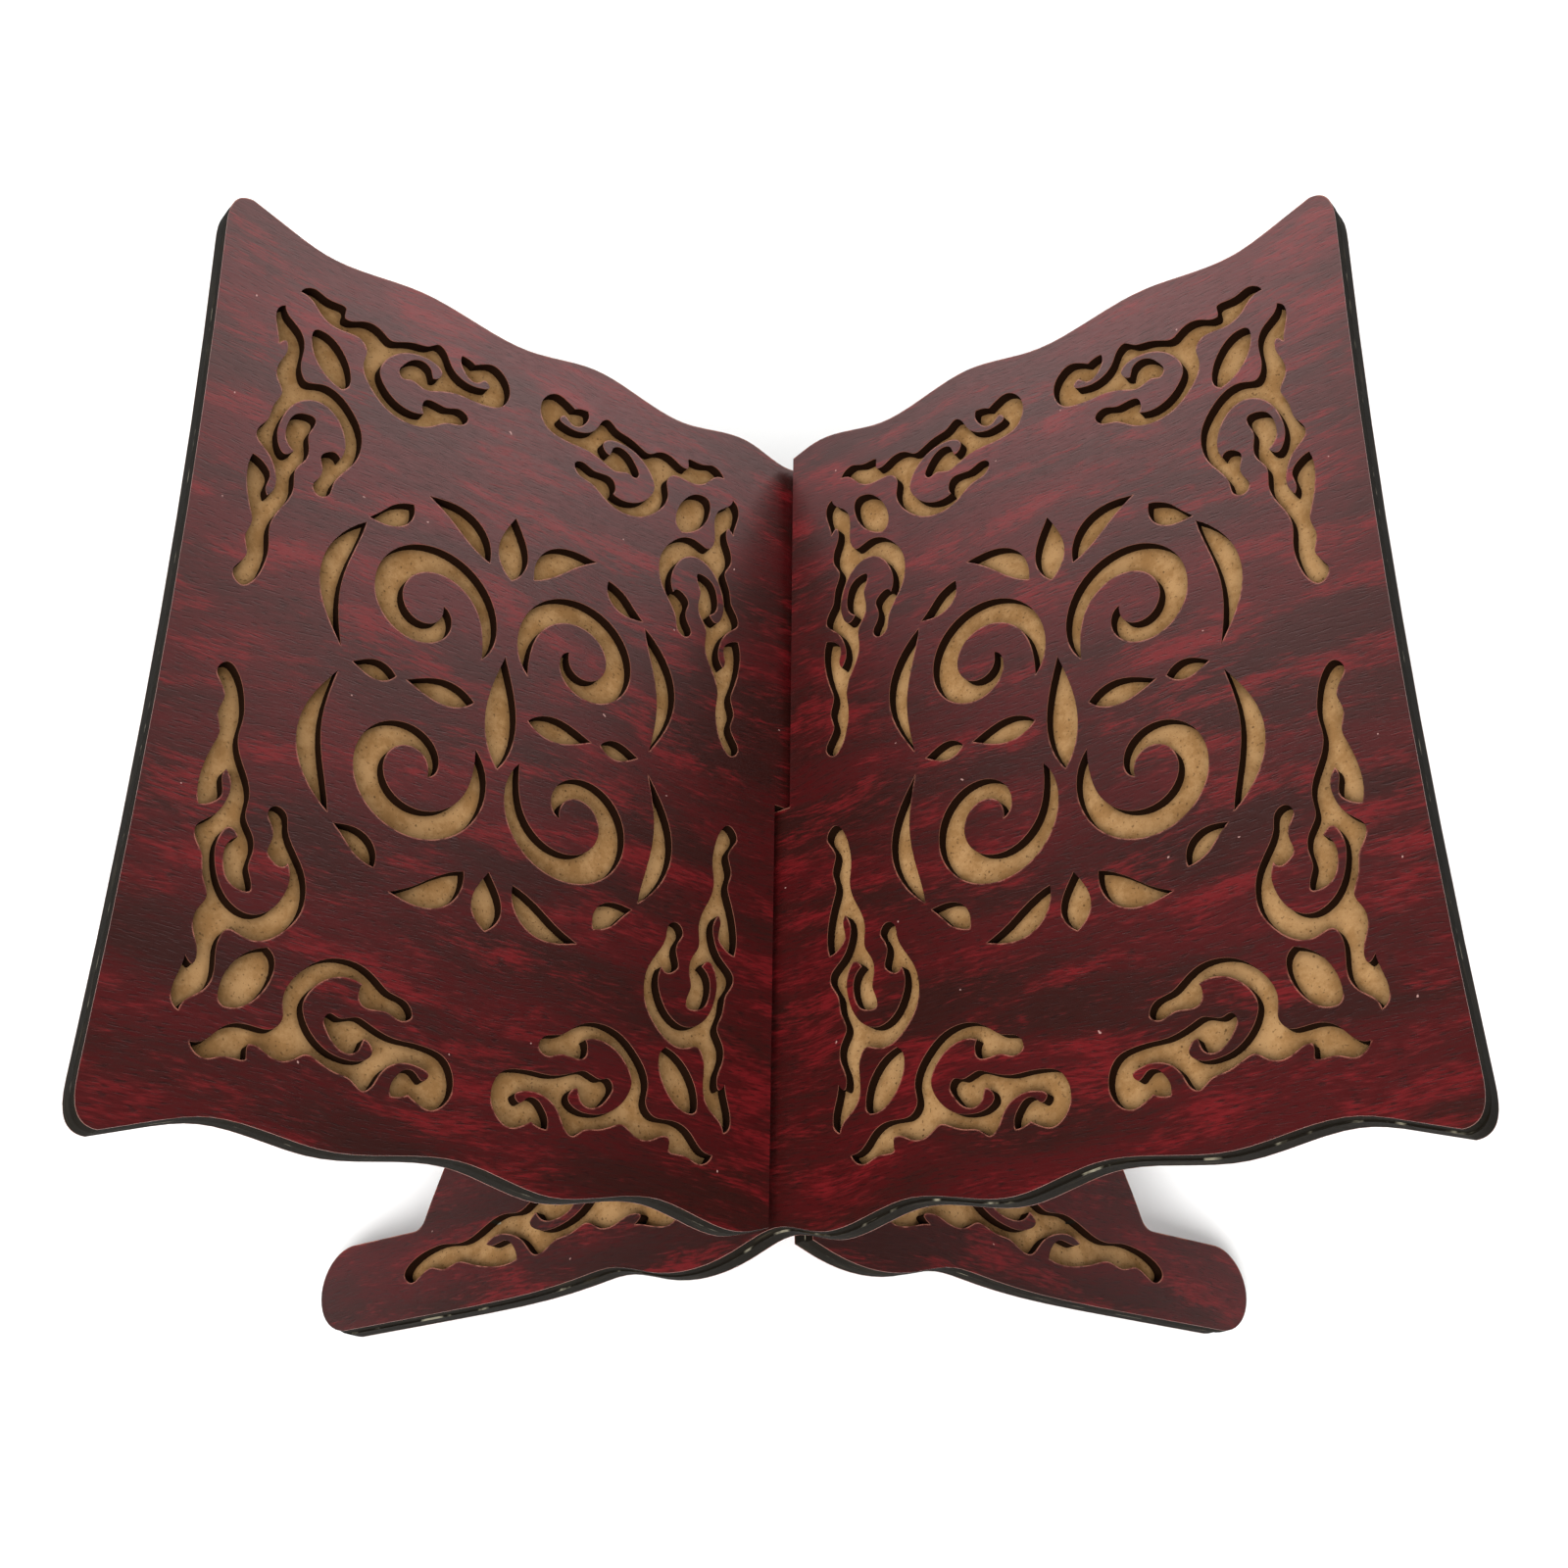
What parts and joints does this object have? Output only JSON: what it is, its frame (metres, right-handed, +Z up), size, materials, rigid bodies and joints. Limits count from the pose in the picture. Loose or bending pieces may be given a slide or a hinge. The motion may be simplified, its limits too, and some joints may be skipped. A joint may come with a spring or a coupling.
{
  "type": "knock-down book stand",
  "caption": "X-shaped book stand of two flat fretted wooden boards that halve together along the spine and hold a book open in a V.",
  "frame": {"origin": "on the floor under the middle of the spine, midway between the four feet", "axes": "+X to the right across the spine, +Y to the back along the spine, +Z up"},
  "size_m": [0.2636, 0.226, 0.195],
  "materials": {
    "right_leaf_board_face_foil": "printed red mahogany wood grain foil, satin",
    "right_leaf_board_fretted_ply": "raw fibreboard with scorched laser cut edges",
    "right_leaf_board_backing_ply": "raw fibreboard, tan, with scorched edges",
    "right_leaf_board_back_foil": "printed red mahogany wood grain foil, satin",
    "left_leaf_board_face_foil": "printed red mahogany wood grain foil, satin",
    "left_leaf_board_fretted_ply": "raw fibreboard with scorched laser cut edges",
    "left_leaf_board_backing_ply": "raw fibreboard, tan, with scorched edges",
    "left_leaf_board_back_foil": "printed red mahogany wood grain foil, satin"
  },
  "bodies": {
    "right_leaf_board": {"right_leaf_board_face_foil": "right_leaf_board_face_foil", "right_leaf_board_fretted_ply": "right_leaf_board_fretted_ply", "right_leaf_board_backing_ply": "right_leaf_board_backing_ply", "right_leaf_board_back_foil": "right_leaf_board_back_foil"},
    "left_leaf_board": {"left_leaf_board_face_foil": "left_leaf_board_face_foil", "left_leaf_board_fretted_ply": "left_leaf_board_fretted_ply", "left_leaf_board_backing_ply": "left_leaf_board_backing_ply", "left_leaf_board_back_foil": "left_leaf_board_back_foil"}
  },
  "joints": [
    {"name": "spine_fold", "type": "hinge", "parent": "right_leaf_board", "child": "left_leaf_board", "pos_m": [0, 0, 0.09449], "axis": [0, 1, 0], "range_deg": [0, 32]}
  ]
}
